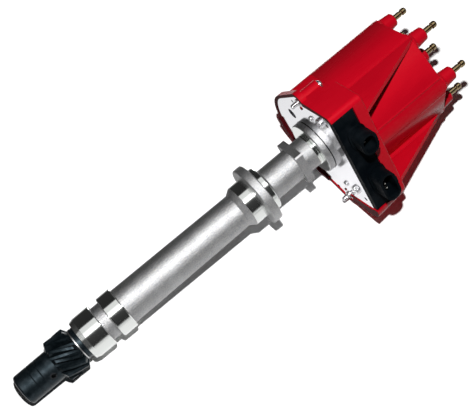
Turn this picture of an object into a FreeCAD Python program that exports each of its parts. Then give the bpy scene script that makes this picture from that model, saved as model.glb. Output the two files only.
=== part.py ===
import FreeCAD
import Part
import math
import os

os.makedirs("parts", exist_ok=True)

# Heights are measured along the shaft from the mounting collar's lower face.
# The shaft points up the Z axis towards the cap, and the module faces -Y.

running_clearance = 0.04
seat_clearance = 0.30
overlap = 0.5

# Shaft and bearings
shaft_radius = 6.25
shaft_chamfer = 0.6
rotor_seat_radius = 5.0
rotor_seat_length = 17.0
drive_slot_width = 4.8
drive_slot_depth = 10.0
bushing_wall = 1.75
bushing_radius = shaft_radius + bushing_wall
bushing_length = 28.0
stem_relief_radius = bushing_radius + 1.0
seal_height = 5.0
seal_lip = 0.9

# Housing casting, from the lower end to the base plate
band_radius = 16.13
lower_band_bottom = -153.0
lower_band_length = 16.9
oil_groove_length = 6.9
upper_band_length = 11.7
lower_band_top = lower_band_bottom + lower_band_length
upper_band_bottom = lower_band_top + oil_groove_length
upper_band_top = upper_band_bottom + upper_band_length
oil_groove_radius = 13.4
lead_in_length = 3.5
lead_in_depth = 1.0
stem_bottom_radius = 14.0
stem_top_radius = 13.1
flare_radius = 15.8
flare_length = 4.1
pilot_radius = 16.2
pilot_length = 9.8
flare_top = -pilot_length - 0.6
stem_top = flare_top - flare_length
collar_radius = 23.3
collar_height = 6.8
edge_break = 0.7
ring_radius = 17.1
ring_height = 4.7
ring_top = collar_height + ring_height
plate_bottom = 59.0
plate_thickness = 4.0
plate_top = plate_bottom + plate_thickness
neck_radius = 12.4
hub_radius = 20.7
hub_height = 5.2
hub_bottom = plate_bottom - hub_height
polished_height = 2.0
polished_bottom = hub_bottom - polished_height
polished_radius = neck_radius + 0.4
flange_height = 5.9
flange_bottom = 36.9
flange_top = flange_bottom + flange_height
flange_side = 2 * neck_radius + 0.6
inner_boss_wall = 3.0
inner_boss_radius = bushing_radius + inner_boss_wall
inner_boss_height = 3.0
inner_boss_top = plate_top + inner_boss_height

# Base plate
left_rear = 45.4
left_front = 47.4
right_rear = 44.6
right_front = 42.0
plate_front = 45.0
rear_radius = 41.7
rear_shift = 0.3
rear_centre = 0.5
lug_reach = 47.3
lug_forward = 10.8
lug_radius = 4.6
register_wall = 2.6
register_height = 4.0
rivet_places = (-34.9, 30.7)
rivet_forward = 17.8
rivet_radius = 2.2
vent_radius = 4.1
vent_reach = 28.1
vent_angle = 149.5
side_hole_radius = 1.3
side_hole_places = (-43.1, 44.0)
front_hole_radius = 1.6
front_hole_places = (-39.2, 34.1)
front_hole_forward = 39.6

# Drive gear
gear_teeth = 13
gear_radius = 15.95
gear_root_radius = 11.9
gear_width = 19.6
gear_bevel = 2.4
gear_shoulder_radius = 12.1
helix_angle = 29.0
gear_hub_radius = 11.4
gear_hub_length = 28.0
gear_hub_chamfer = 1.8
hub_line_depth = 0.25
gear_pin_drop = 5.0
gear_pin_angle = -99.4
gear_pin_radius = 2.6
gear_pin_wall = 1.1
thrust_washer_height = 0.8
washer_radius = gear_shoulder_radius
shim_radius = washer_radius + 0.1
shim_height = 1.1
shim_count = 3
shim_bottom = lower_band_bottom - seat_clearance - shim_count * shim_height
gear_top = shim_bottom - thrust_washer_height
gear_bottom = gear_top - gear_width
gear_hub_bottom = gear_bottom - gear_hub_length
gear_pin_height = gear_bottom - gear_pin_drop
shaft_bottom = gear_hub_bottom + 1.0

# Cap
cap_wall = 3.0
cap_bottom = plate_bottom - 0.6
cap_height = 89.6
cap_top = cap_bottom + cap_height
rim_overhang = 2.7
rim_height = 4.6
flare_height = 5.6
lip_drop = 1.0
lip_start = 15.0
lip_end = 97.0
tower_count = 6
tower_circle = 34.0
lobe_radius = 7.6
tower_height = 12.0
tower_base_radius = 6.2
tower_tip_radius = 5.2
tower_top = cap_top + tower_height
coil_tower_height = 15.5
coil_tower_top = cap_top + coil_tower_height
coil_tower_radius = 7.2
rib_thickness = 2.6
rib_height = 2.2
skirt_front = 50.0
skirt_left = 50.2
skirt_right = 51.8
left_corner = 4.0
right_corner = 11.0
skirt_height = 27.0
skirt_top = cap_bottom + skirt_height
skirt_back = 21.0
skirt_left_draft = 0.6
skirt_right_draft = 3.4
skirt_wall = 2.6
boss_radius = 5.0
boss_height = 18.0
boss_top = cap_bottom + boss_height
fin_left = -35.2
fin_right = 31.8
fin_thickness = 2.8
fin_top_reach = 23.0

# Terminals
post_height = 11.5
terminal_top = tower_top + post_height
coil_terminal_top = coil_tower_top + post_height - 1.0
shank_radius = 2.2
terminal_neck_radius = 1.9
terminal_head_radius = 2.5
terminal_head_height = 4.3
electrode_radius = 3.0

# Timing parts and rotor, from the plate upwards
pickup_plate_height = 1.4
pickup_outer = 28.0
coil_outer = 20.8
coil_inner = inner_boss_radius + 0.4
coil_flange = 1.2
magnet_inner = coil_outer + 0.4
magnet_height = 7.4
magnet_bottom = plate_top + pickup_plate_height
magnet_top = magnet_bottom + magnet_height
pole_height = 2.6
pole_top = magnet_top + pole_height
core_tip_radius = 14.6
core_root_radius = 11.0
core_tooth_width = 4.0
core_bottom = inner_boss_top + 2.0
core_top = pole_top + 1.6
core_lead = 15.0
pole_gap = 0.4
rotor_seat_bottom = core_top + 19.0
shaft_top = rotor_seat_bottom + rotor_seat_length
rotor_bottom = rotor_seat_bottom + 3.0
rotor_disc_thickness = 3.0
rotor_disc_bottom = shaft_top + 6.0
rotor_disc_top = rotor_disc_bottom + rotor_disc_thickness
rotor_disc_radius = 24.0
rotor_skirt_radius = 13.0
rotor_stem_radius = 9.0
rotor_arm_width = 11.0
blade_width = 8.0
blade_thickness = 1.4
rotor_gap = 0.6
blade_reach = tower_circle - electrode_radius - rotor_gap
electrode_bottom = rotor_disc_top - 3.0
electrode_top = cap_top - cap_wall - 1.5

# Brush
brush_radius = 3.1
brush_clearance = 0.1
brush_nose = 2.0
brush_length = 12.0
spring_rise = 8.6
contact_rise = 8.6
contact_width = 4.8
contact_thickness = 0.5
brush_bottom = rotor_disc_top + blade_thickness + contact_rise
brush_top = brush_bottom + brush_length
spring_top = brush_top - brush_nose + spring_rise
spring_turns = 5
spring_wire = 0.35

# Module
module_left = 45.6
module_right = 40.4
module_front = 49.5
module_back = 31.0
module_bottom = plate_bottom + 0.3
module_height = 17.1
module_top = module_bottom + module_height
module_lip = 0.7
module_lip_height = 1.9
heat_plate_height = 1.6
window_gap = 0.5
small_shroud = (-24.2, 71.0, 16.0, 12.4)
wide_shroud = (17.0, 70.5, 23.0, 12.4)
shroud_length = 14.6
shroud_wall = 1.7
shroud_depth = 12.0
shroud_foot = 3.0
shroud_collar = 1.8
contact_reach = 7.0
module_screw_places = (-38.3, 28.7)
module_screw_forward = 31.5
module_ear = 5.0
module_screw_radius = 1.9
module_screw_length = 7.5
module_screw_head = 3.7
module_screw_head_height = 2.4

# Cap screws
cap_screw_radius = 1.7
cap_screw_head_radius = 3.6
cap_screw_reach = 6.2
cap_screw_bottom = plate_bottom - cap_screw_reach
retainer_radius = 2.9
retainer_height = 1.1

middle = FreeCAD.Vector(0, 0, 0)
up = FreeCAD.Vector(0, 0, 1)
forward = FreeCAD.Vector(0, -1, 0)
right = FreeCAD.Vector(1, 0, 0)


def vector(x, y, z):
    return FreeCAD.Vector(x, y, z)


def turned(points):
    corners = [vector(radius, 0, height) for radius, height in points]
    corners.append(corners[0])
    face = Part.Face(Part.makePolygon(corners))
    return face.revolve(middle, up, 360)


def rod(radius, bottom, top, x=0.0, y=0.0):
    return Part.makeCylinder(radius, top - bottom, vector(x, y, bottom), up)


def tube(outer, inner, bottom, top):
    return rod(outer, bottom, top).cut(rod(inner, bottom, top))


def block(x_low, x_high, y_low, y_high, z_low, z_high):
    corner = vector(x_low, y_low, z_low)
    return Part.makeBox(x_high - x_low, y_high - y_low, z_high - z_low, corner)


def joined(shapes):
    return shapes[0].fuse(shapes[1:]).removeSplitter()


def on_circle(radius, angle):
    turn = math.radians(angle)
    return radius * math.cos(turn), radius * math.sin(turn)


def save(shape, name):
    solid = shape.Solids[0] if len(shape.Solids) == 1 else shape
    solid.exportStep("parts/" + name + ".step")


def tower_places():
    places = []
    for index in range(tower_count):
        places.append(on_circle(tower_circle, -90 + 360.0 / tower_count * index))
    return places


def lobed_face(lobe, height):
    edges = []
    half = 180.0 / tower_count
    first = None
    last = None
    for index in range(tower_count):
        angle = -90 + 2 * half * index
        x, y = on_circle(tower_circle, angle)
        ends = []
        for turn in (-half, 0, half):
            dx, dy = on_circle(lobe, angle + turn)
            ends.append(vector(x + dx, y + dy, height))
        if last is not None:
            edges.append(Part.makeLine(last, ends[0]))
        else:
            first = ends[0]
        edges.append(Part.Arc(ends[0], ends[1], ends[2]).toShape())
        last = ends[2]
    edges.append(Part.makeLine(last, first))
    return Part.Face(Part.Wire(edges))


def lobed_prism(lobe, bottom, top):
    return lobed_face(lobe, bottom).extrude(vector(0, 0, top - bottom))


def prism(corners, bottom, top):
    points = [vector(x, y, bottom) for x, y in corners]
    points.append(points[0])
    return Part.Face(Part.makePolygon(points)).extrude(vector(0, 0, top - bottom))


def flank(side, rear, lug):
    across = side * lug_reach - rear_shift
    along = -lug_forward - rear_centre
    angle = math.atan2(along, across) + side * math.acos((rear - lug) / math.hypot(across, along))
    dx = math.cos(angle)
    dy = math.sin(angle)
    corners = [(rear_shift, rear_centre), (rear_shift + rear * dx, rear_centre + rear * dy)]
    corners += [(side * lug_reach + lug * dx, -lug_forward + lug * dy), (side * lug_reach, -lug_forward)]
    return corners


def plate_outline(offset, bottom, top):
    rear = rear_radius + offset
    lug = lug_radius + offset
    front = -plate_front - offset
    corners = [(-left_rear - offset, -lug_forward), (-left_front - offset, front)]
    corners += [(right_front + offset, front), (right_rear + offset, -lug_forward)]
    shapes = [prism(corners, bottom, top), rod(rear, bottom, top, rear_shift, rear_centre)]
    for side in (-1, 1):
        shapes.append(rod(lug, bottom, top, side * lug_reach, -lug_forward))
        shapes.append(prism(flank(side, rear, lug), bottom, top))
    return joined(shapes)


def housing_profile():
    groove = 0.4
    points = [(0, lower_band_bottom), (band_radius - lead_in_depth, lower_band_bottom)]
    points += [(band_radius, lower_band_bottom + lead_in_length), (band_radius, lower_band_top - 0.5)]
    points += [(band_radius - 0.6, lower_band_top), (oil_groove_radius, lower_band_top)]
    points += [(oil_groove_radius, upper_band_bottom), (band_radius - 0.6, upper_band_bottom)]
    points += [(band_radius, upper_band_bottom + 0.5), (band_radius, upper_band_top - 0.6)]
    points += [(band_radius - 0.5, upper_band_top), (stem_bottom_radius, upper_band_top)]
    points += [(stem_top_radius, stem_top), (flare_radius, flare_top)]
    points += [(pilot_radius, -pilot_length), (pilot_radius, 0)]
    points += [(collar_radius - edge_break, 0), (collar_radius, edge_break)]
    points += [(collar_radius, collar_height - edge_break), (collar_radius - edge_break, collar_height)]
    points += [(ring_radius, collar_height), (ring_radius, ring_top - 0.5), (ring_radius - 0.5, ring_top)]
    points += [(neck_radius + 1.2, ring_top), (neck_radius, ring_top + 1.6)]
    points += [(neck_radius, polished_bottom), (polished_radius, polished_bottom)]
    points += [(polished_radius, hub_bottom - 2 * groove), (polished_radius - groove, hub_bottom - groove)]
    points += [(polished_radius, hub_bottom), (hub_radius - edge_break, hub_bottom)]
    points += [(hub_radius, hub_bottom + edge_break), (hub_radius, plate_bottom + overlap)]
    points.append((0, plate_bottom + overlap))
    return points


def housing():
    half = flange_side / 2
    flange = block(-half, half, -half, half, flange_bottom, flange_top)
    flange = flange.common(rod(half * math.sqrt(2) - edge_break, flange_bottom, flange_top))
    inner_boss = rod(inner_boss_radius, plate_bottom, inner_boss_top)
    register_radius = cap_flat_reach() - cap_wall - seat_clearance
    low = plate_top - overlap
    register = tube(register_radius, register_radius - register_wall, low, plate_top + register_height)
    rear_half = block(-register_radius, register_radius, 0, register_radius, low, plate_top + register_height)
    register = register.common(rear_half)
    plate = plate_outline(0, plate_bottom, plate_top)
    shape = joined([turned(housing_profile()), flange, plate, inner_boss, register])
    lower_end = lower_band_bottom + bushing_length
    upper_end = upper_bushing_bottom()
    holes = [rod(bushing_radius, lower_band_bottom, lower_end)]
    holes.append(rod(stem_relief_radius, lower_end, upper_end))
    holes.append(rod(bushing_radius, upper_end, inner_boss_top))
    for side in (-1, 1):
        holes.append(rod(cap_screw_radius, plate_bottom, plate_top, side * lug_reach, -lug_forward))
    for x in side_hole_places:
        holes.append(rod(side_hole_radius, plate_bottom, plate_top, x, 0))
    for x in front_hole_places:
        holes.append(rod(front_hole_radius, plate_bottom, plate_top, x, -front_hole_forward))
    for x in module_screw_places:
        loose = module_screw_radius + seat_clearance
        holes.append(rod(loose, plate_bottom, plate_top, x, -module_screw_forward))
    x, y = on_circle(vent_reach, vent_angle)
    holes.append(rod(vent_radius, plate_bottom, plate_top, x, y))
    return shape.cut(holes)


def upper_bushing_bottom():
    return collar_height - bushing_length


def cap_flat_reach():
    return tower_circle * math.cos(math.pi / tower_count) + lobe_radius


def bushing(bottom, top):
    inner = shaft_radius + running_clearance
    outer = bushing_radius
    points = [(inner, bottom), (outer, bottom), (outer, top), (inner, top)]
    return turned(points)


def shaft_seal():
    inner = shaft_radius + running_clearance
    bottom = hub_bottom - seal_height
    top = hub_bottom
    points = [(inner, bottom + 1.5), (inner, bottom + 2.5), (inner + seal_lip, top)]
    points += [(bushing_radius, top), (bushing_radius, bottom), (inner + seal_lip, bottom)]
    return turned(points)


def main_shaft():
    ease = shaft_chamfer
    points = [(0, shaft_bottom), (shaft_radius - ease, shaft_bottom), (shaft_radius, shaft_bottom + ease)]
    points += [(shaft_radius, rotor_seat_bottom - ease), (shaft_radius - ease, rotor_seat_bottom)]
    points += [(rotor_seat_radius, rotor_seat_bottom), (rotor_seat_radius, shaft_top - ease)]
    points += [(rotor_seat_radius - ease, shaft_top), (0, shaft_top)]
    half = drive_slot_width / 2
    reach = shaft_radius + 1
    slot = block(-half, half, -reach, reach, shaft_bottom, shaft_bottom + drive_slot_depth)
    return turned(points).cut([slot, gear_pin_hole()])


def gear_pin_hole():
    dx, dy = on_circle(1.0, gear_pin_angle)
    reach = gear_hub_radius + 1
    start = vector(-reach * dx, -reach * dy, gear_pin_height)
    return Part.makeCylinder(gear_pin_radius, 2 * reach, start, vector(dx, dy, 0))


def gear_pin():
    dx, dy = on_circle(1.0, gear_pin_angle)
    reach = gear_hub_radius - 0.3
    start = vector(-reach * dx, -reach * dy, gear_pin_height)
    along = vector(dx, dy, 0)
    outer = Part.makeCylinder(gear_pin_radius, 2 * reach, start, along)
    inner = Part.makeCylinder(gear_pin_radius - gear_pin_wall, 2 * reach, start, along)
    split = block(-0.3, 0.3, 0, gear_pin_radius + 1, -2 * reach, 2 * reach)
    split.rotate(middle, right, 90)
    split.rotate(middle, up, gear_pin_angle + 90)
    split.translate(vector(0, 0, gear_pin_height))
    return outer.cut([inner, split])


def gear_section(height, turn):
    corners = []
    pitch = 360.0 / gear_teeth
    middle_radius = (gear_radius + gear_root_radius) / 2 + 0.3
    flank = [(gear_root_radius, -9.6), (middle_radius, -6.6), (gear_radius, -3.4)]
    flank += [(gear_radius, 3.4), (middle_radius, 6.6), (gear_root_radius, 9.6)]
    for index in range(gear_teeth):
        for radius, angle in flank:
            x, y = on_circle(radius, turn + index * pitch + angle)
            corners.append(vector(x, y, height))
    corners.append(corners[0])
    return Part.makePolygon(corners)


def drive_gear():
    length = gear_top - gear_bottom
    total = math.degrees(length * math.tan(math.radians(helix_angle)) / gear_radius)
    steps = 6
    sections = []
    for index in range(steps + 1):
        part = index / steps
        sections.append(gear_section(gear_bottom + part * length, part * total))
    teeth = Part.makeLoft(sections, True, True)
    envelope = [(0, gear_bottom), (gear_hub_radius, gear_bottom), (gear_radius, gear_bottom + gear_bevel)]
    envelope += [(gear_radius, gear_top - gear_bevel), (gear_shoulder_radius, gear_top), (0, gear_top)]
    teeth = teeth.common(turned(envelope))
    hub = [(0, gear_hub_bottom), (gear_hub_radius - gear_hub_chamfer, gear_hub_bottom)]
    hub.append((gear_hub_radius - 0.5, gear_hub_bottom + 0.6))
    hub.append((gear_hub_radius, gear_hub_bottom + gear_hub_chamfer))
    for drop in (16.4, 10.5):
        line = gear_bottom - drop
        hub += [(gear_hub_radius, line - 0.4), (gear_hub_radius - hub_line_depth, line)]
        hub.append((gear_hub_radius, line + 0.4))
    hub += [(gear_hub_radius, gear_bottom + 1), (0, gear_bottom + 1)]
    shoulder = rod(gear_shoulder_radius - 0.1, gear_top - 1.0, gear_top)
    shape = joined([teeth, turned(hub), shoulder])
    bore = rod(shaft_radius, gear_hub_bottom, gear_top)
    mouth_points = [(0, gear_hub_bottom), (shaft_radius + 1, gear_hub_bottom)]
    mouth_points += [(shaft_radius, gear_hub_bottom + 1), (0, gear_hub_bottom + 1)]
    mouth = turned(mouth_points)
    return shape.cut([bore, mouth, gear_pin_hole()])


def thrust_washer():
    bottom = gear_top
    inner = shaft_radius + 0.15
    return tube(washer_radius, inner, bottom, bottom + thrust_washer_height)


def shim(index):
    radius = shim_radius - 0.25 * (index % 2)
    bottom = shim_bottom + index * shim_height
    return tube(radius, shaft_radius + 0.15, bottom, bottom + shim_height)


def timing_core():
    half = core_tooth_width / 2
    shapes = [rod(core_root_radius, core_bottom, core_top)]
    for index in range(tower_count):
        tooth = block(core_root_radius - 2, core_tip_radius, -half, half, pole_top - pole_height, core_top)
        tooth.rotate(middle, up, core_lead + 360.0 / tower_count * index)
        shapes.append(tooth)
    return joined(shapes).cut(rod(shaft_radius, core_bottom, core_top))


def pole_piece():
    inner = coil_outer - 1.8
    half = core_tooth_width / 2 + 0.2
    shapes = [tube(pickup_outer, inner, magnet_top, pole_top)]
    for index in range(tower_count):
        tooth = block(core_tip_radius + pole_gap, inner + 2, -half, half, magnet_top + 0.6, pole_top)
        tooth.rotate(middle, up, 360.0 / tower_count * index)
        shapes.append(tooth)
    return joined(shapes)


def pickup_magnet():
    return tube(pickup_outer - 0.4, magnet_inner, magnet_bottom, magnet_top)


def pickup_coil():
    waist = coil_outer - coil_flange
    low = magnet_bottom + coil_flange
    high = magnet_top - coil_flange
    bobbin = [(coil_inner, magnet_bottom), (coil_outer, magnet_bottom), (coil_outer, low), (waist, low)]
    bobbin += [(waist, high), (coil_outer, high), (coil_outer, magnet_top), (coil_inner, magnet_top)]
    return turned(bobbin)


def pickup_plate():
    return tube(pickup_outer, inner_boss_radius + seat_clearance, plate_top, magnet_bottom)


def plug_terminal(x, y):
    bottom = electrode_bottom
    neck = terminal_top - terminal_head_height
    points = [(0, bottom), (electrode_radius - 0.5, bottom), (electrode_radius, bottom + 0.5)]
    points += [(electrode_radius, electrode_top), (shank_radius, electrode_top)]
    points += [(shank_radius, neck - 1.6), (terminal_neck_radius, neck - 1.1)]
    points += [(terminal_neck_radius, neck), (terminal_head_radius, neck + 0.5)]
    points += [(terminal_head_radius, terminal_top - 1.4), (terminal_head_radius - 0.5, terminal_top - 0.5)]
    points += [(terminal_head_radius - 1.3, terminal_top), (0, terminal_top)]
    shape = turned(points)
    shape.translate(vector(x, y, 0))
    return shape


def coil_terminal():
    neck = coil_terminal_top - terminal_head_height
    wide = brush_radius + brush_clearance
    points = [(0, spring_top), (wide, spring_top), (wide, spring_top + 2), (shank_radius, spring_top + 2)]
    points += [(shank_radius, neck - 1.6), (terminal_neck_radius, neck - 1.1)]
    points += [(terminal_neck_radius, neck), (terminal_head_radius, neck + 0.5)]
    points.append((terminal_head_radius, coil_terminal_top - 1.4))
    points.append((terminal_head_radius - 0.5, coil_terminal_top - 0.5))
    points += [(terminal_head_radius - 1.3, coil_terminal_top), (0, coil_terminal_top)]
    return turned(points)


def carbon_button():
    points = [(0, brush_bottom), (brush_radius - 0.8, brush_bottom), (brush_radius, brush_bottom + 0.8)]
    points += [(brush_radius, brush_top - brush_nose), (brush_radius - 1.4, brush_top - brush_nose)]
    points += [(brush_radius - 1.4, brush_top), (0, brush_top)]
    return turned(points)


def button_spring():
    radius = brush_radius - spring_wire - 0.3
    low = brush_top - brush_nose + spring_wire
    rise = spring_top - spring_wire - low
    steps_per_turn = 12
    sections = []
    for index in range(spring_turns * steps_per_turn + 1):
        angle = 360.0 / steps_per_turn * index
        height = low + rise * index / (spring_turns * steps_per_turn)
        corners = []
        for side in range(6):
            out, lift = on_circle(spring_wire, 60 * side)
            x, y = on_circle(radius + out, angle)
            corners.append(vector(x, y, height + lift))
        corners.append(corners[0])
        sections.append(Part.makePolygon(corners))
    return Part.makeLoft(sections, True, True)


def skirt_box(inset, bottom, top, back):
    left = -skirt_left + inset
    right_side = skirt_right - inset
    front = -skirt_front + inset
    low = []
    high = []
    for x, y, draft in ((left, front, skirt_left_draft), (right_side, front, -skirt_right_draft),
                        (right_side, -back, -skirt_right_draft), (left, -back, skirt_left_draft)):
        low.append(vector(x, y, bottom))
        high.append(vector(x + draft, y, top))
    low.append(low[0])
    high.append(high[0])
    shape = Part.makeLoft([Part.makePolygon(low), Part.makePolygon(high)], True, True)
    for side, radius in ((-1, left_corner - inset / 2), (1, right_corner - inset)):
        upright = []
        for edge in shape.Edges:
            box = edge.BoundBox
            tall = box.ZLength > 0.9 * (top - bottom)
            if tall and box.YMax < front + 1 and side * box.Center.x > 0:
                upright.append(edge)
        shape = shape.makeFillet(radius, upright)
    return shape


def rounded_skirt():
    shape = skirt_box(0, cap_bottom, skirt_top, lug_forward)
    rim = [edge for edge in shape.Edges if edge.BoundBox.ZMin > skirt_top - 0.1]
    shape = shape.makeFillet(1.4, rim)
    wide = skirt_right + 10
    bend = 3.0
    step = block(-wide, wide, -skirt_back, 0, boss_top, skirt_top + 1)
    corner = block(-wide, wide, -skirt_back - bend, 0, skirt_top - bend, skirt_top + 1)
    round_bar = Part.makeCylinder(bend, 2 * wide, vector(-wide, -skirt_back - bend, skirt_top - bend), right)
    return shape.cut([step, corner.cut(round_bar)])


def rim_flare(inset):
    low = cap_bottom + rim_height
    top = low + flare_height
    wide = rear_radius + rim_overhang - inset
    narrow = cap_flat_reach() - inset
    lip = Part.makeCircle(wide, vector(rear_shift, rear_centre, low - overlap))
    half_way = vector(rear_shift / 2, rear_centre / 2, (low + top) / 2)
    waist = Part.makeCircle((wide + narrow) / 2 - 1.2, half_way)
    neck = Part.makeCircle(narrow, vector(0, 0, top))
    return Part.makeLoft([Part.Wire(lip), Part.Wire(waist), Part.Wire(neck)], True, True)


def rear_lip():
    inner = rear_radius + 0.6
    outer = rear_radius + rim_overhang + 0.6
    bottom = cap_bottom - lip_drop
    shape = rod(outer, bottom, cap_bottom + 1, rear_shift, rear_centre)
    shape = shape.cut(rod(inner, bottom, cap_bottom + 1, rear_shift, rear_centre))
    corners = [(rear_shift, rear_centre)]
    for angle in (lip_start, (lip_start + lip_end) / 2, lip_end):
        x, y = on_circle(2 * outer, angle)
        corners.append((x, y))
    return shape.common(prism(corners, bottom, cap_bottom + 1))


def fin(side):
    low = skirt_top - 3
    points = [(-skirt_front, low), (-skirt_front, skirt_top - 0.2), (-skirt_front + 0.6, skirt_top + 0.8)]
    points += [(-fin_top_reach, cap_top - 1), (-fin_top_reach + 0.8, cap_top)]
    root = tower_circle / 2 - lobe_radius / 2
    points += [(-root, cap_top), (-root, low)]
    x = (fin_left if side < 0 else fin_right) - fin_thickness / 2
    corners = [vector(x, y, z) for y, z in points]
    corners.append(corners[0])
    return Part.Face(Part.makePolygon(corners)).extrude(vector(fin_thickness, 0, 0))


def tower(x, y, top, base_radius, tip_radius):
    low = cap_top - 1
    points = [(0, low), (base_radius + 1.2, low), (base_radius + 1.2, cap_top + 0.6)]
    points += [(base_radius + 0.4, cap_top + 1.4), (base_radius, cap_top + 2.4)]
    points += [(tip_radius, top - 0.8), (tip_radius - 0.8, top), (0, top)]
    shape = turned(points)
    shape.translate(vector(x, y, 0))
    return shape


def cap_body():
    column = lobed_prism(lobe_radius, cap_bottom + overlap, cap_top)
    top_edges = [edge for edge in column.Edges if edge.BoundBox.ZMin > cap_top - 0.1]
    column = column.makeFillet(1.2, top_edges)
    shapes = [column, rounded_skirt(), rim_flare(0), rear_lip()]
    shapes.append(plate_outline(rim_overhang, cap_bottom, cap_bottom + rim_height))
    for side in (-1, 1):
        shapes.append(rod(boss_radius, cap_bottom, boss_top, side * lug_reach, -lug_forward))
        root = side * tower_circle
        low = min(root, side * lug_reach)
        high = max(root, side * lug_reach)
        web = block(low, high, -lug_forward - boss_radius, -lug_forward + boss_radius, cap_bottom, boss_top)
        shapes.append(web)
        shapes.append(fin(side))
    for x, y in tower_places():
        shapes.append(tower(x, y, tower_top, tower_base_radius, tower_tip_radius))
        rib = block(0, tower_circle, -rib_thickness / 2, rib_thickness / 2, cap_top - 1, cap_top + rib_height)
        rib.rotate(middle, up, math.degrees(math.atan2(y, x)))
        shapes.append(rib)
    shapes.append(tower(0, 0, coil_tower_top, coil_tower_radius, tower_tip_radius + 0.6))
    return joined(shapes)


def cap_hollow():
    spaces = [plate_outline(seat_clearance, cap_bottom - lip_drop - 1, plate_top)]
    spaces.append(lobed_prism(lobe_radius - cap_wall, plate_top - overlap, cap_top - cap_wall - 1))
    spaces.append(rim_flare(cap_wall))
    spaces.append(skirt_box(skirt_wall, plate_top - overlap, skirt_top - skirt_wall, skirt_back + skirt_wall))
    wide = lug_reach - boss_radius
    back = skirt_back + skirt_wall + 1
    spaces.append(block(-wide, wide, -back, -lug_forward, plate_top - overlap, boss_top - cap_wall))
    return joined(spaces)


def distributor_cap():
    shape = cap_body().cut(cap_hollow())
    additions = []
    socket = electrode_radius + 2.2
    for x, y in tower_places():
        additions.append(rod(socket, electrode_top - 6, cap_top - 2, x, y))
    additions.append(rod(brush_radius + 2.6, brush_bottom + 2.5, cap_top - 2))
    for side in (-1, 1):
        additions.append(rod(boss_radius, plate_top, boss_top, side * lug_reach, -lug_forward))
    shape = joined([shape] + additions)
    window_left = -module_left - window_gap
    window_right = module_right + window_gap
    window_top = module_top + window_gap
    window = block(window_left, window_right, -skirt_front - 5, -plate_front, cap_bottom - 5, window_top)
    cuts = [window, shroud_notch(small_shroud), shroud_notch(wide_shroud)]
    for x, y in tower_places():
        cuts.append(rod(electrode_radius, electrode_top - 8, electrode_top, x, y))
        cuts.append(rod(shank_radius, electrode_top, tower_top + 1, x, y))
    guide = brush_radius + brush_clearance
    cuts.append(rod(guide, brush_bottom, spring_top + 2))
    cuts.append(rod(shank_radius, spring_top + 2, coil_tower_top + 1))
    for side in (-1, 1):
        cuts.append(rod(cap_screw_radius, cap_bottom, boss_top + 1, side * lug_reach, -lug_forward))
    return shape.cut(cuts)


def rotor():
    skirt = rotor_bottom + 4
    waist = rotor_disc_bottom - 2
    points = [(0, rotor_bottom), (rotor_skirt_radius, rotor_bottom), (rotor_skirt_radius, skirt)]
    points += [(rotor_stem_radius + 0.6, skirt + 2), (rotor_stem_radius, waist)]
    points += [(rotor_stem_radius + 3, rotor_disc_bottom), (rotor_disc_radius, rotor_disc_bottom)]
    points += [(rotor_disc_radius, rotor_disc_top), (0, rotor_disc_top)]
    half = rotor_arm_width / 2
    arm = block(rotor_stem_radius, blade_reach - 3, -half, half, rotor_disc_bottom, rotor_disc_top)
    weight_top = rotor_disc_top + rotor_disc_thickness
    weight = block(-rotor_disc_radius, -rotor_skirt_radius, -9, 9, rotor_disc_top - overlap, weight_top)
    weight = weight.common(rod(rotor_disc_radius, rotor_disc_top - overlap, weight_top))
    shape = joined([turned(points), arm, weight])
    return shape.cut(rod(rotor_seat_radius, rotor_bottom, shaft_top))


def rotor_blade():
    bottom = rotor_disc_top
    top = bottom + blade_thickness
    half = blade_width / 2
    shape = block(-6, blade_reach - 2, -half, half, bottom, top)
    tip = block(blade_reach - 3, blade_reach, -half + 0.8, half - 0.8, bottom, top)
    return joined([shape, tip]).common(rod(blade_reach, bottom, top))


def contact_spring():
    low = rotor_disc_top + blade_thickness
    high = brush_bottom
    sheet = contact_thickness
    points = [(14.0, low), (8.0, low), (2.0, high - sheet), (-2.6, high - sheet), (-3.4, high - 1.4)]
    points += [(-3.8, high - 1.0), (-2.8, high), (2.3, high), (8.3, low + sheet), (14.0, low + sheet)]
    corners = [vector(x, -contact_width / 2, z) for x, z in points]
    corners.append(corners[0])
    return Part.Face(Part.makePolygon(corners)).extrude(vector(0, contact_width, 0))


def rounded_bar(centre_x, centre_z, width, height, corner, start, length):
    x_low = centre_x - width / 2
    z_low = centre_z - height / 2
    shape = block(x_low, x_low + width, -start - length, -start, z_low, z_low + height)
    edges = [edge for edge in shape.Edges if edge.BoundBox.YLength > length - 0.01]
    return shape.makeFillet(corner, edges)


def contact_places(shroud, count):
    centre_x, centre_z, width, height = shroud
    pitch = (width - 2 * shroud_wall - 3) / count
    places = []
    for index in range(count):
        places.append((centre_x + (index - (count - 1) / 2.0) * pitch, centre_z))
    return places


def contact_pin(x, z, half=0.7, cutter=False):
    tip = module_front + contact_reach
    start = module_front - 2.5
    shape = block(x - half, x + half, -tip, -start, z - half, z + half)
    if cutter:
        return shape
    edges = [edge for edge in shape.Edges if edge.BoundBox.YMax < -tip + 0.01]
    return shape.makeChamfer(0.35, edges)


def shroud_shapes(shroud):
    x, z, width, height = shroud
    corner = height / 2 - 0.6
    root = module_front - overlap
    mouth = -module_front - shroud_length
    shapes = [rounded_bar(x, z, width, height, corner, root, shroud_length + overlap)]
    foot_corner = corner + shroud_collar / 2
    foot_width = width + shroud_collar
    foot_height = height + shroud_collar
    shapes.append(rounded_bar(x, z, foot_width, foot_height, foot_corner, root, shroud_foot))
    shapes.append(block(x - 2.6, x + 2.6, mouth + 2, mouth + 6.5, z, z + height / 2 + 1.2))
    for side in (-1, 1):
        rib = x + side * 3.6
        rib_top = z + height / 2 + 0.6
        shapes.append(block(rib - 0.5, rib + 0.5, mouth + 1, -module_front, z, rib_top))
    return shapes


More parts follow.
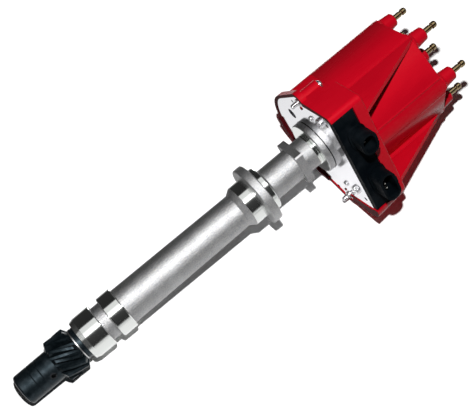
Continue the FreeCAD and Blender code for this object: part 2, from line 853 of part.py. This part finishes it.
def shroud_hollow(shroud):
    x, z, width, height = shroud
    inner_width = width - 2 * shroud_wall
    inner_height = height - 2 * shroud_wall
    start = module_front + shroud_length - shroud_depth
    return rounded_bar(x, z, inner_width, inner_height, inner_height / 2 - 0.6, start, shroud_depth + 1)


def shroud_notch(shroud):
    x, z, width, height = shroud
    grow = shroud_collar + 2 * window_gap
    corner = height / 2 - 0.6 + grow / 2
    return rounded_bar(x, z, width + grow, height + grow, corner, plate_front, skirt_front - plate_front + 5)


def module_ears(bottom, top):
    ears = []
    back = -module_screw_forward + module_ear
    for x in module_screw_places:
        ears.append(block(x - module_ear, x + module_ear, -module_back - overlap, back, bottom, top))
    return ears


def module_body():
    bottom = plate_top + heat_plate_height
    step = -plate_front - seat_clearance
    body = block(-module_left, module_right, step, -module_back, bottom, module_top)
    face = block(-module_left, module_right, -module_front, step, module_bottom, module_top)
    shape = body.fuse(face).removeSplitter()
    edges = []
    for edge in shape.Edges:
        box = edge.BoundBox
        upright = box.XLength < 0.01 and box.ZLength > module_height / 2
        if upright and box.YMax < -module_front + 0.1:
            edges.append(edge)
    shape = shape.makeFillet(1.6, edges)
    lip_front = -module_front - module_lip
    lip_top = module_bottom + module_lip_height
    lip = block(1.6 - module_left, module_right - 1.6, lip_front, -module_front, module_bottom, lip_top)
    shape = joined([shape, lip] + shroud_shapes(small_shroud) + shroud_shapes(wide_shroud))
    shape = joined([shape] + module_ears(bottom, bottom + module_screw_length + 2))
    cuts = [shroud_hollow(small_shroud), shroud_hollow(wide_shroud)]
    for x, z in contact_places(small_shroud, 2) + contact_places(wide_shroud, 4):
        cuts.append(contact_pin(x, z, cutter=True))
    depth = bottom + module_screw_length + overlap
    for x in module_screw_places:
        cuts.append(rod(module_screw_radius, bottom, depth, x, -module_screw_forward))
    return shape.cut(cuts)


def heat_plate():
    top = plate_top + heat_plate_height
    edge = 1.5
    shape = block(edge - module_left, module_right - edge, edge - plate_front, -module_back, plate_top, top)
    shape = joined([shape] + module_ears(plate_top, top))
    holes = []
    for x in module_screw_places:
        holes.append(rod(module_screw_radius, plate_top, top, x, -module_screw_forward))
    return shape.cut(holes)


def module_screw(x):
    top = plate_top + heat_plate_height + module_screw_length
    head = plate_bottom - module_screw_head_height
    wide = module_screw_head
    points = [(0, head), (wide - 1.1, head), (wide - 0.3, head + 0.5), (wide, head + 1.2)]
    points.append((wide, plate_bottom))
    points += [(module_screw_radius, plate_bottom), (module_screw_radius, top - 0.8)]
    points += [(module_screw_radius - 0.8, top), (0, top)]
    shape = turned(points)
    recess = rod(1.5, head, head + 1.5)
    shape = shape.cut(recess)
    shape.translate(vector(x, -module_screw_forward, 0))
    return shape


def cap_screw(side):
    wide = cap_screw_head_radius
    thread = cap_screw_radius
    points = [(0, cap_screw_bottom), (thread - 0.7, cap_screw_bottom), (thread, cap_screw_bottom + 0.8)]
    points += [(thread, boss_top), (wide, boss_top), (wide, boss_top + 1.6)]
    points += [(wide - 1.0, boss_top + 2.8), (wide - 2.4, boss_top + 3.5), (0, boss_top + 3.6)]
    shape = turned(points)
    reach = wide - 2.2
    low = boss_top + 2.4
    slots = [block(-reach, reach, -0.5, 0.5, low, low + 2), block(-0.5, 0.5, -reach, reach, low, low + 2)]
    shape = shape.cut(slots)
    shape.translate(vector(side * lug_reach, -lug_forward, 0))
    return shape


def screw_retainer(side):
    shape = tube(retainer_radius, cap_screw_radius, plate_bottom - retainer_height, plate_bottom)
    shape.translate(vector(side * lug_reach, -lug_forward, 0))
    return shape


def plate_rivet(x):
    low = plate_bottom - 1.6
    points = [(0, low), (rivet_radius - 0.8, low), (rivet_radius, low + 0.8)]
    points += [(rivet_radius, plate_bottom), (0, plate_bottom)]
    shape = turned(points)
    shape.translate(vector(x, -rivet_forward, 0))
    return shape


def build():
    save(housing(), "distributor_housing")
    save(bushing(lower_band_bottom, lower_band_bottom + bushing_length), "lower_bushing")
    save(bushing(upper_bushing_bottom(), upper_bushing_bottom() + bushing_length), "upper_bushing")
    save(shaft_seal(), "shaft_seal")
    save(main_shaft(), "main_shaft")
    save(drive_gear(), "drive_gear")
    save(gear_pin(), "gear_pin")
    save(thrust_washer(), "thrust_washer")
    for index in range(shim_count):
        save(shim(index), "shim_%d" % (index + 1))
    save(timing_core(), "timing_core")
    save(pole_piece(), "pole_piece")
    save(pickup_magnet(), "pickup_magnet")
    save(pickup_coil(), "pickup_coil")
    save(pickup_plate(), "pickup_plate")
    save(distributor_cap(), "distributor_cap")
    for index, place in enumerate(tower_places()):
        save(plug_terminal(place[0], place[1]), "plug_terminal_%d" % (index + 1))
    save(coil_terminal(), "coil_terminal")
    save(carbon_button(), "carbon_button")
    save(button_spring(), "button_spring")
    save(rotor(), "rotor")
    save(rotor_blade(), "rotor_blade")
    save(contact_spring(), "contact_spring")
    save(module_body(), "ignition_module")
    save(heat_plate(), "module_heat_plate")
    for index, place in enumerate(contact_places(small_shroud, 2)):
        save(contact_pin(place[0], place[1]), "coil_contact_%d" % (index + 1))
    for index, place in enumerate(contact_places(wide_shroud, 4)):
        save(contact_pin(place[0], place[1]), "timing_contact_%d" % (index + 1))
    for index, side in enumerate((-1, 1)):
        save(module_screw(module_screw_places[index]), "module_screw_%d" % (index + 1))
        save(cap_screw(side), "cap_screw_%d" % (index + 1))
        save(screw_retainer(side), "screw_retainer_%d" % (index + 1))
        save(plate_rivet(rivet_places[index]), "plate_rivet_%d" % (index + 1))


build()
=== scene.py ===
import math

import bpy
from mathutils import Matrix, Vector

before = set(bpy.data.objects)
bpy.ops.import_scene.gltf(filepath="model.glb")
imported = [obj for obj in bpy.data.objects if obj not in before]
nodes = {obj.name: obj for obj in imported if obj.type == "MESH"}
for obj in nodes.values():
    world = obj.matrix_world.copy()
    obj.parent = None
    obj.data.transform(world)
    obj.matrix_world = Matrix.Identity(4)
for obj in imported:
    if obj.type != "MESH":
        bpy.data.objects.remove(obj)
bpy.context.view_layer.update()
mm = 0.001


class Value:  # a socket that can be used in sums and comparisons
    def __init__(self, finish, socket):
        self.finish = finish
        self.socket = socket

    def maths(self, operation, first, second=0.0):
        return self.finish.add("ShaderNodeMath", {"operation": operation}, {0: first, 1: second})

    def __add__(self, other):
        return self.maths("ADD", self, other)

    def __radd__(self, other):
        return self.maths("ADD", other, self)

    def __sub__(self, other):
        return self.maths("SUBTRACT", self, other)

    def __rsub__(self, other):
        return self.maths("SUBTRACT", other, self)

    def __mul__(self, other):
        return self.maths("MULTIPLY", self, other)

    def __rmul__(self, other):
        return self.maths("MULTIPLY", other, self)

    def __gt__(self, other):
        return self.maths("GREATER_THAN", self, other)

    def __lt__(self, other):
        return self.maths("LESS_THAN", self, other)

    def __pow__(self, other):
        return self.maths("POWER", self, other)

    def larger(self, other):
        return self.maths("MAXIMUM", self, other)

    def smaller(self, other):
        return self.maths("MINIMUM", self, other)

    def wave(self):
        return self.maths("SINE", self)

    def size(self):
        return self.maths("ABSOLUTE", self)


class Finish:  # one material, with its point in millimetres
    def __init__(self, name):
        self.material = bpy.data.materials.new(name)
        self.material.use_nodes = True
        self.tree = self.material.node_tree
        self.tree.nodes.clear()
        place = self.add("ShaderNodeTexCoord", output="Object")
        scale = {0: place, "Scale": 1 / mm}
        self.point = self.add("ShaderNodeVectorMath", {"operation": "SCALE"}, scale)

    def add(self, kind, settings=None, inputs=None, output=0):
        node = self.tree.nodes.new(kind)
        for name, setting in (settings or {}).items():
            if name == "stops":
                self.setStops(node.color_ramp, setting)
            else:
                setattr(node, name, setting)
        for key, value in (inputs or {}).items():
            if isinstance(value, Value):
                self.tree.links.new(value.socket, node.inputs[key])
            else:
                node.inputs[key].default_value = value
        return Value(self, node.outputs[output])

    def setStops(self, ramp, stops):
        while len(ramp.elements) > 1:
            ramp.elements.remove(ramp.elements[0])
        for index, (place, colour) in enumerate(stops):
            element = ramp.elements[0] if index == 0 else ramp.elements.new(place)
            element.position = place
            element.color = colour

    def axis(self, name):
        return self.add("ShaderNodeSeparateXYZ", inputs={0: self.point}, output=name)

    def reach(self):  # distance from the shaft's axis
        inputs = {0: self.point, 1: (1, 1, 0)}
        flat = self.add("ShaderNodeVectorMath", {"operation": "MULTIPLY"}, inputs)
        return self.add("ShaderNodeVectorMath", {"operation": "LENGTH"}, {0: flat}, "Value")

    def noise(self, size, detail=2.0, roughness=0.5, stretch=(1, 1, 1)):
        inputs = {0: self.point, 1: stretch}
        point = self.add("ShaderNodeVectorMath", {"operation": "MULTIPLY"}, inputs)
        inputs = {"Vector": point, "Scale": 1.0 / size, "Detail": detail, "Roughness": roughness}
        return self.add("ShaderNodeTexNoise", inputs=inputs)

    def fade(self, value, low, high, first=0.0, last=1.0):
        inputs = {"Value": value, "From Min": low, "From Max": high, "To Min": first, "To Max": last}
        return self.add("ShaderNodeMapRange", {"clamp": True}, inputs)

    def blend(self, amount, first, second):
        settings = {"data_type": "RGBA", "clamp_factor": True}
        return self.add("ShaderNodeMix", settings, {0: amount, 6: first, 7: second}, 2)

    def between(self, value, low, high):
        return (value > low) * (value < high)

    def bump(self, height, depth, under=None):
        inputs = {"Height": height, "Strength": 1.0, "Distance": depth * mm}
        if under is not None:
            inputs["Normal"] = under
        return self.add("ShaderNodeBump", inputs=inputs)

    def finish(self, shader, kind="ShaderNodeOutputMaterial"):
        output = self.tree.nodes.new(kind)
        self.tree.links.new(shader.socket, output.inputs["Surface"])

    def surface(self, inputs):
        self.finish(self.add("ShaderNodeBsdfPrincipled", inputs=inputs))
        return self.material


def rgb(red, green, blue):
    return (red, green, blue, 1.0)


def dress(material, *names):
    for name in names:
        for slot in nodes[name].material_slots:
            slot.material = material


def link(thing):
    bpy.context.scene.collection.objects.link(thing)


camera = {
    "place": (-0.43784, -0.52698, -0.10487),  # metres
    "azimuth": -39.4,  # degrees round Z
    "lift": 7.694,  # degrees above level
    "roll": 50.03,  # degrees round the view
    "lens": 75.27,  # mm, as the sensor
    "sensor": 36.0,
    "nearest": 0.01,
    "farthest": 20.0,
}


def makeCamera():
    data = bpy.data.cameras.new("photoCamera")
    data.sensor_width = camera["sensor"]
    data.lens = camera["lens"]
    data.clip_start = camera["nearest"]
    data.clip_end = camera["farthest"]
    eye = bpy.data.objects.new("photoCamera", data)
    turn = Matrix.Rotation(math.radians(camera["azimuth"]), 4, "Z")
    tilt = Matrix.Rotation(math.radians(90 + camera["lift"]), 4, "X")
    roll = Matrix.Rotation(math.radians(camera["roll"]), 4, "Z")
    eye.matrix_world = Matrix.Translation(Vector(camera["place"])) @ turn @ tilt @ roll
    link(eye)
    bpy.context.scene.camera = eye
    return eye


ground = {
    "facing": (-0.8754, -0.4667, 0.1264),  # the gear and the cap's rim rest on this slope
    "distance": 0.0379,  # metres from the origin to the sheet
    "size": 6.0,
    "colour": rgb(0.93, 0.93, 0.93),
    "fleck": rgb(0.95, 0.95, 0.95),
    "bounce": rgb(0.35, 0.35, 0.35),  # for light that bounces on to the object
    "grain": (0.6, 3.0),  # size in mm, detail
    "mirrorEdge": -30.0,  # glossy surfaces see no sheet left of this, in mm
    "shown": 1.12,  # brightness for the camera, just over white
    "falloff": 1.5,  # the lamp's light falls with this power of the spread
    "shownLimit": 60.0,
}


def groundMaterial(lamp):  # lamp is its place on the sheet in mm
    paper = Finish("groundPaper")
    tint = paper.blend(paper.noise(*ground["grain"]), ground["colour"], ground["fleck"])
    seen, glossy, shadow, bounced = (
        paper.add("ShaderNodeLightPath", output=ray)
        for ray in ("Is Camera Ray", "Is Glossy Ray", "Is Shadow Ray", "Is Diffuse Ray"))
    right, up = paper.axis("X") - lamp.x, paper.axis("Y") - lamp.y
    spread = (right * right + up * up) * (1 / lamp.z ** 2) + 1.0
    level = (spread ** ground["falloff"]).smaller(ground["shownLimit"]) * ground["shown"]
    white = paper.add("ShaderNodeCombineXYZ", inputs={0: level, 1: level, 2: level})
    unseen = paper.blend(bounced, tint, ground["bounce"])
    shown = paper.blend(seen, unseen, white)
    lit = paper.add("ShaderNodeBsdfDiffuse", inputs={"Color": shown})
    clear = paper.add("ShaderNodeBsdfTransparent")
    back = paper.add("ShaderNodeNewGeometry", output="Backfacing")
    beyond = glossy * (paper.axis("X") < ground["mirrorEdge"])
    hidden = back.larger(beyond).larger(shadow)
    paper.finish(paper.add("ShaderNodeMixShader", inputs={0: hidden, 1: lit, 2: clear}))
    return paper.material


def makeGround(key):
    half = ground["size"] / 2
    mesh = bpy.data.meshes.new("ground")
    corners = [(-half, -half, 0), (half, -half, 0), (half, half, 0), (-half, half, 0)]
    mesh.from_pydata(corners, [], [(0, 1, 2, 3)])
    sheet = bpy.data.objects.new("ground", mesh)
    facing = Vector(ground["facing"]).normalized()
    along = (Vector((0, 0, 1)) - facing * facing.z).normalized()
    across = along.cross(facing)
    turn = Matrix((across, along, facing)).transposed().to_4x4()
    place = Matrix.Translation(-facing * ground["distance"]) @ turn
    sheet.matrix_world = place
    lamp = place.inverted() @ key.matrix_world.translation * (1 / mm)
    mesh.materials.append(groundMaterial(lamp))
    link(sheet)


light = {
    "lampPower": 20.0,  # watts
    "lampSize": 0.010,
    "lampShine": 0.14,  # share of its highlight that is shown
    "lampPlace": (-0.0153, 0.1363, -0.0071),  # from the camera: right, up, back
    "fillStrength": 0.3,
    "fillShine": 0.3,
    "fillTurns": (-160.0, 160.0),  # degrees round the shaft from the camera
    "fillTilt": 65.0,  # degrees from straight down
    "fillSpread": 20.0,
    "ambient": 0.012,  # what the walls give to matt surfaces
}


def makeLights(eye):
    lamp = bpy.data.lights.new("keyLamp", "POINT")
    lamp.energy = light["lampPower"]
    lamp.shadow_soft_size = light["lampSize"]
    lamp.specular_factor = light["lampShine"]
    key = bpy.data.objects.new("keyLamp", lamp)
    key.matrix_world = eye.matrix_world @ Matrix.Translation(Vector(light["lampPlace"]))
    link(key)
    for turn in light["fillTurns"]:
        sun = bpy.data.lights.new("fillSun", "SUN")
        sun.energy = light["fillStrength"]
        sun.specular_factor = light["fillShine"]
        sun.angle = math.radians(light["fillSpread"])
        fill = bpy.data.objects.new("fillSun", sun)
        spin = Matrix.Rotation(math.radians(camera["azimuth"] + turn), 4, "Z")
        fill.matrix_world = spin @ Matrix.Rotation(math.radians(light["fillTilt"]), 4, "X")
        link(fill)
    return key


studio = {
    "across": (0.773, -0.6347, 0.0),  # to the right in the photo, square to the shaft
    "towards": (-0.6347, -0.7727, 0.0),  # to the camera, square to the shaft
    "stops": [  # angle round the shaft from towards, wall brightness
        (-180, 0.88), (-172, 0.78), (-158, 0.50), (-142, 0.03), (-55, 0.022), (-51, 0.84),
        (-29, 0.84), (-26, 1.20), (-4, 1.20), (0, 0.16), (4, 0.045), (58, 0.030), (64, 0.92),
        (100, 0.94), (140, 1.08), (158, 1.12), (180, 0.98),
    ],
    "bandHeight": (0.40, 0.75),  # the walls fade to the pole between these slopes
    "pole": 0.15,  # brightness seen along the shaft
}


class Studio(Finish):  # the same methods for the world's nodes
    def __init__(self):
        self.world = bpy.data.worlds.new("paleStudio")
        self.world.use_nodes = True
        self.tree = self.world.node_tree
        self.tree.nodes.clear()

    def along(self, direction, axis):
        inputs = {0: direction, 1: axis}
        return self.add("ShaderNodeVectorMath", {"operation": "DOT_PRODUCT"}, inputs, "Value")


def makeWorld():
    room = Studio()
    direction = room.add("ShaderNodeTexCoord", output="Generated")
    across = room.along(direction, studio["across"])
    towards = room.along(direction, studio["towards"])
    turn = room.add("ShaderNodeMath", {"operation": "ARCTAN2"}, {0: across, 1: towards})
    place = turn * (0.5 / math.pi) + 0.5
    stops = [((angle + 180) / 360, rgb(grey, grey, grey)) for angle, grey in studio["stops"]]
    band = room.add("ShaderNodeValToRGB", {"stops": stops}, {0: place}, "Color")
    steep = room.fade(room.along(direction, (0, 0, 1)).size(), *studio["bandHeight"])
    dark = studio["pole"]
    walls = room.blend(steep, band, rgb(dark, dark, dark))
    seen, glossy, through = (
        room.add("ShaderNodeLightPath", output=ray)
        for ray in ("Is Camera Ray", "Is Glossy Ray", "Is Transmission Ray"))
    grey = light["ambient"]
    unseen = room.blend(glossy, rgb(grey, grey, grey), walls)
    colour = room.blend(seen.larger(through), unseen, rgb(1, 1, 1))
    backdrop = room.add("ShaderNodeBackground", inputs={"Color": colour})
    room.finish(backdrop, "ShaderNodeOutputWorld")
    bpy.context.scene.world = room.world


bpy.context.scene.view_settings.view_transform = "Standard"
eye = makeCamera()
key = makeLights(eye)
makeGround(key)
makeWorld()
print("camera, ground and lights placed")


housing = {
    "castColour": rgb(0.50, 0.485, 0.465),
    "castDark": rgb(0.30, 0.31, 0.33),
    "patchColour": rgb(0.60, 0.61, 0.62),
    "turnedColour": rgb(0.80, 0.82, 0.80),
    "plateColour": rgb(0.90, 0.90, 0.93),
    "seamColour": rgb(0.05, 0.05, 0.05),
    "castRoughness": 0.42,
    "hubRoughness": 0.30,
    "turnedRoughness": 0.06,
    "plateRoughness": 0.05,
    "speckleRough": 0.12,  # added by the speckle
    "turnedWear": 0.08,  # added by the wear
    "plateWear": 0.05,
    "speckle": (0.9, 4.0, 0.65),  # size in mm, detail, roughness
    "patches": (9.0, 3.0, 0.6),
    "wear": (2.5, 3.0, 0.6, (1, 1, 6)),
    "speckleFade": (0.35, 0.70),
    "patchFade": (0.45, 0.75, 0.0, 0.35),
    "turned": [  # heights in mm
        (-153.3, -136.2),  # lower band
        (-129.1, -117.3),  # upper band
        (-9.95, -0.02),  # pilot
        (51.7, 53.9),  # polished step
        (6.85, 11.6),  # ring on the collar
    ],
    "hubSide": (53.9, 58.9),  # smoother cast side below the plate
    "seam": (58.55, 59.05),  # at the hub's foot
    "seamReach": 21.0,
    "plate": (58.95, 63.2),  # mirror-like base plate
    "line": 0.42,  # pitch of the turning marks in mm
    "lineDepth": 0.006,
    "plateLines": 0.2,
    "pitDepth": 0.35,
}


def housingMaterial():
    cast = Finish("castAluminium")
    height = cast.axis("Z")
    reach = cast.reach()
    turned = sum(cast.between(height, *band) for band in housing["turned"]).smaller(1.0)
    plate = cast.between(height, *housing["plate"])
    hub = cast.between(height, *housing["hubSide"])
    seam = cast.between(height, *housing["seam"]) * (reach < housing["seamReach"])
    speckle = cast.noise(*housing["speckle"])
    patches = cast.noise(*housing["patches"])
    worn = cast.noise(*housing["wear"])
    rough = cast.fade(speckle, *housing["speckleFade"])
    tint = cast.blend(rough, housing["castDark"], housing["castColour"])
    tint = cast.blend(cast.fade(patches, *housing["patchFade"]), tint, housing["patchColour"])
    tint = cast.blend(turned, tint, housing["turnedColour"])
    tint = cast.blend(plate, tint, housing["plateColour"])
    tint = cast.blend(seam, tint, housing["seamColour"])
    turnedRough = housing["turnedRoughness"] + worn * housing["turnedWear"]
    plateRough = housing["plateRoughness"] + worn * housing["plateWear"]
    castRough = housing["castRoughness"] * (1 - hub) + hub * housing["hubRoughness"]
    castRough = castRough + speckle * housing["speckleRough"]
    roughness = castRough * (1 - turned) + turnedRough * turned
    roughness = roughness * (1 - plate) + plate * plateRough
    lines = ((height + reach) * (2 * math.pi / housing["line"])).wave()
    lines = lines * (turned + plate * housing["plateLines"])
    grain = cast.bump(lines, housing["lineDepth"])
    pits = speckle * (1 - turned.larger(plate))
    normal = cast.bump(pits, housing["pitDepth"], grain)
    return cast.surface({"Base Color": tint, "Metallic": 1.0, "Roughness": roughness,
                         "Normal": normal})


cap = {
    "colour": rgb(0.57, 0.003, 0.014),
    "shade": rgb(0.52, 0.002, 0.012),
    "roughness": 0.24,
    "flowRough": 0.08,
    "shine": 0.12,
    "flow": (14.0, 3.0, 0.55, (1, 1, 0.35)),  # size in mm, detail, roughness, stretch
    "peel": (1.6, 2.0),
    "dust": (0.35, 2.0),
    "flowFade": (0.35, 0.70),
    "dustFade": (0.62, 0.75, 0.0, 0.08),
    "peelDepth": 0.02,
    "wall": (86.0, 147.6),  # heights of the fluted wall in mm
    "wallReach": 42.2,  # mm from the axis
    "roundness": 0.8,  # shades the flat flutes as if round
    "beadPlace": 6.9,  # fine lines on the front column
    "beadHalf": 0.8,
    "beadHeight": 0.35,
    "beadFront": -36.0,
    # painted shade: near-black colour for the rim's underside, its inner wall and the ledge behind
    # the side holes, as if unlit
    "paintedShadeColour": rgb(0.07, 0.001, 0.003),
    "paintedShadeRoughness": 0.7,
    "rimShadeTop": 58.55,  # painted shade on the cut rim below this height
    "innerShadeTop": 63.3,  # painted shade on the rim's inner wall too
    "innerShadeReach": 43.2,
    "ledgeShadeHeights": (62.0, 65.0),  # painted shade on the ledge behind the side holes
    "ledgeShadeAside": 46.0,
    "ledgeShadeFront": 2.5,
}


def capMaterial():
    red = Finish("redCap")
    height = red.axis("Z")
    reach = red.reach()
    aside = red.axis("X").size()
    front = red.axis("Y")
    flow = red.noise(*cap["flow"])
    peel = red.noise(*cap["peel"])
    dust = red.fade(red.noise(*cap["dust"]), *cap["dustFade"])
    wall = red.between(height, *cap["wall"]) * (reach < cap["wallReach"])
    bead = red.fade((aside - cap["beadPlace"]).size(), 0.0, cap["beadHalf"], 1.0, 0.0)
    bead = bead * (front < cap["beadFront"])
    bulge = (bead * cap["beadHeight"] - reach * cap["roundness"]) * wall
    normal = red.bump(peel, cap["peelDepth"], red.bump(bulge, 1.0))
    # painted shade masks: rim underside, rim inner wall and the ledge behind the side holes
    innerShadeMask = (height < cap["innerShadeTop"]) * (reach < cap["innerShadeReach"])
    ledgeShadeMask = red.between(height, *cap["ledgeShadeHeights"]) * (aside < cap["ledgeShadeAside"])
    ledgeShadeMask = ledgeShadeMask * (front.size() < cap["ledgeShadeFront"])
    paintedShadeMask = innerShadeMask.larger(height < cap["rimShadeTop"]).larger(ledgeShadeMask)
    tint = red.blend(red.fade(flow, *cap["flowFade"]), cap["shade"], cap["colour"])
    # the painted shade colour goes where these masks are set
    tint = red.blend(paintedShadeMask, tint, cap["paintedShadeColour"])
    roughness = cap["roughness"] + flow * cap["flowRough"] + dust
    roughness = roughness * (1 - paintedShadeMask) + paintedShadeMask * cap["paintedShadeRoughness"]
    return red.surface({"Base Color": tint, "Roughness": roughness, "Normal": normal,
                        "Specular IOR Level": cap["shine"]})


plastic = {
    "grainDetail": 3.0,
    "grainMix": 0.6,
    "grainRough": 0.12,
    "flow": (8.0, 2.0),  # size in mm, detail
    "flowFade": (0.4, 0.8),
    "flowRough": 0.06,
    "lighter": 1.7,  # paler patches: the colour times this, plus the lift
    "lift": 0.004,
}

plastics = {  # grain is its size and depth in mm
    "moduleBlack": {"colour": rgb(0.002, 0.0035, 0.005), "roughness": 0.40, "grain": (0.5, 0.02),
                    "shine": 0.02, "nodes": ["ignition_module"]},
    "rotorBlack": {"colour": rgb(0.014, 0.014, 0.015), "roughness": 0.36, "grain": (0.5, 0.02),
                   "shine": 0.5, "nodes": ["rotor"]},
    "coilTape": {"colour": rgb(0.10, 0.08, 0.05), "roughness": 0.5, "grain": (0.8, 0.03),
                 "shine": 0.5, "nodes": ["pickup_coil"]},
    "carbonBlack": {"colour": rgb(0.02, 0.02, 0.02), "roughness": 0.55, "grain": (0.2, 0.02),
                    "shine": 0.5, "nodes": ["carbon_button"]},
    "sealRubber": {"colour": rgb(0.012, 0.012, 0.012), "roughness": 0.6, "grain": (0.3, 0.02),
                   "shine": 0.5, "nodes": ["shaft_seal"]},
    "magnetGrey": {"colour": rgb(0.12, 0.12, 0.13), "roughness": 0.5, "grain": (0.3, 0.02),
                   "shine": 0.5, "nodes": ["pickup_magnet"]},
}


def plasticMaterial(name, look):
    moulded = Finish(name)
    size, depth = look["grain"]
    grain = moulded.noise(size, plastic["grainDetail"], plastic["grainMix"])
    flow = moulded.noise(*plastic["flow"])
    paler = [min(1.0, part * plastic["lighter"] + plastic["lift"]) for part in look["colour"][:3]]
    tint = moulded.blend(moulded.fade(flow, *plastic["flowFade"]), look["colour"], rgb(*paler))
    rough = look["roughness"] + grain * plastic["grainRough"] + flow * plastic["flowRough"]
    return moulded.surface({"Base Color": tint, "Roughness": rough,
                            "Normal": moulded.bump(grain, depth),
                            "Specular IOR Level": look["shine"]})


metal = {
    "cloud": (3.0, 4.0, 0.6),  # size in mm, detail, roughness
    "cloudFade": (0.45, 0.8),
    "cloudRough": 0.12,
    "fine": (0.25, 2.0),
    "fineRough": 0.05,
    "line": 0.3,  # pitch of the turning marks in mm
    "lineDepth": 0.004,
    "stain": 0.35,  # strength of the dark patches
}

metals = {
    "terminalBrass": {"colour": rgb(0.36, 0.27, 0.14), "dark": rgb(0.12, 0.08, 0.04),
                      "roughness": 0.05, "lineDepth": 0.001,
                      "nodes": ["plug_terminal_%d" % (index + 1) for index in range(6)]
                      + ["coil_terminal", "rotor_blade"]},
    "bushingBronze": {"colour": rgb(0.50, 0.32, 0.15), "dark": rgb(0.3, 0.18, 0.08),
                      "roughness": 0.4, "nodes": ["lower_bushing", "upper_bushing"]},
    "shaftSteel": {"colour": rgb(0.42, 0.42, 0.43), "dark": rgb(0.25, 0.25, 0.26),
                   "roughness": 0.26, "nodes": ["main_shaft"]},
    "pinSteel": {"colour": rgb(0.05, 0.055, 0.06), "dark": rgb(0.03, 0.03, 0.035),
                 "roughness": 0.35, "nodes": ["gear_pin"]},
    "washerSteel": {"colour": rgb(0.62, 0.62, 0.62), "dark": rgb(0.4, 0.4, 0.4),
                    "roughness": 0.25,
                    "nodes": ["thrust_washer", "pickup_plate", "screw_retainer_1",
                              "screw_retainer_2"]},
    "screwChrome": {"colour": rgb(0.85, 0.85, 0.87), "dark": rgb(0.6, 0.6, 0.62),
                    "roughness": 0.08, "line": 0.9, "lineDepth": 0.05, "stain": 0.2,
                    "nodes": ["cap_screw_1", "cap_screw_2", "module_screw_1", "module_screw_2",
                              "plate_rivet_1", "plate_rivet_2"]},
    "coreSteel": {"colour": rgb(0.35, 0.35, 0.36), "dark": rgb(0.2, 0.2, 0.2),
                  "roughness": 0.35, "nodes": ["timing_core", "pole_piece"]},
    "heatPlate": {"colour": rgb(0.66, 0.66, 0.68), "dark": rgb(0.5, 0.5, 0.5),
                  "roughness": 0.3, "nodes": ["module_heat_plate"]},
    "springSteel": {"colour": rgb(0.55, 0.52, 0.45), "dark": rgb(0.35, 0.3, 0.25),
                    "roughness": 0.25, "nodes": ["button_spring", "contact_spring"]},
    "contactTin": {"colour": rgb(0.16, 0.16, 0.15), "dark": rgb(0.10, 0.10, 0.09),
                   "roughness": 0.3,
                   "nodes": ["coil_contact_1", "coil_contact_2", "timing_contact_1",
                             "timing_contact_2", "timing_contact_3", "timing_contact_4"]},
}


def metalMaterial(name, look):
    look = {**metal, **look}
    bare = Finish(name)
    cloud = bare.noise(*look["cloud"])
    fine = bare.noise(*look["fine"])
    stained = bare.fade(cloud, *look["cloudFade"], 0.0, look["stain"])
    tint = bare.blend(stained, look["colour"], look["dark"])
    rough = look["roughness"] + cloud * look["cloudRough"] + fine * look["fineRough"]
    lines = ((bare.axis("Z") + bare.reach()) * (2 * math.pi / look["line"])).wave()
    grain = bare.bump(fine, look["lineDepth"] * 2)
    normal = bare.bump(lines, look["lineDepth"], grain)
    return bare.surface({"Base Color": tint, "Metallic": 1.0, "Roughness": rough,
                         "Normal": normal})


oxide = {
    "colour": rgb(0.009, 0.017, 0.022),
    "worn": rgb(0.030, 0.042, 0.050),
    "metallic": 0.75,
    "roughness": 0.25,
    "cloud": (4.0, 4.0, 0.6),
    "cloudFade": (0.4, 0.75),
    "cloudRough": 0.14,
    "fine": (0.5, 3.0, 0.6),
    "fineRough": 0.06,
    "fineDepth": 0.03,
}


def oxideMaterial():
    black = Finish("blackOxide")
    cloud = black.noise(*oxide["cloud"])
    fine = black.noise(*oxide["fine"])
    tint = black.blend(black.fade(cloud, *oxide["cloudFade"]), oxide["colour"], oxide["worn"])
    rough = oxide["roughness"] + cloud * oxide["cloudRough"] + fine * oxide["fineRough"]
    return black.surface({"Base Color": tint, "Metallic": oxide["metallic"], "Roughness": rough,
                          "Normal": black.bump(fine, oxide["fineDepth"])})


def dressNodes():
    dress(housingMaterial(), "distributor_housing")
    dress(capMaterial(), "distributor_cap")
    dress(oxideMaterial(), "drive_gear", "shim_1", "shim_2", "shim_3")
    for name, look in plastics.items():
        dress(plasticMaterial(name, look), *look["nodes"])
    for name, look in metals.items():
        dress(metalMaterial(name, look), *look["nodes"])
    print("materials on", len(nodes), "nodes")


dressNodes()
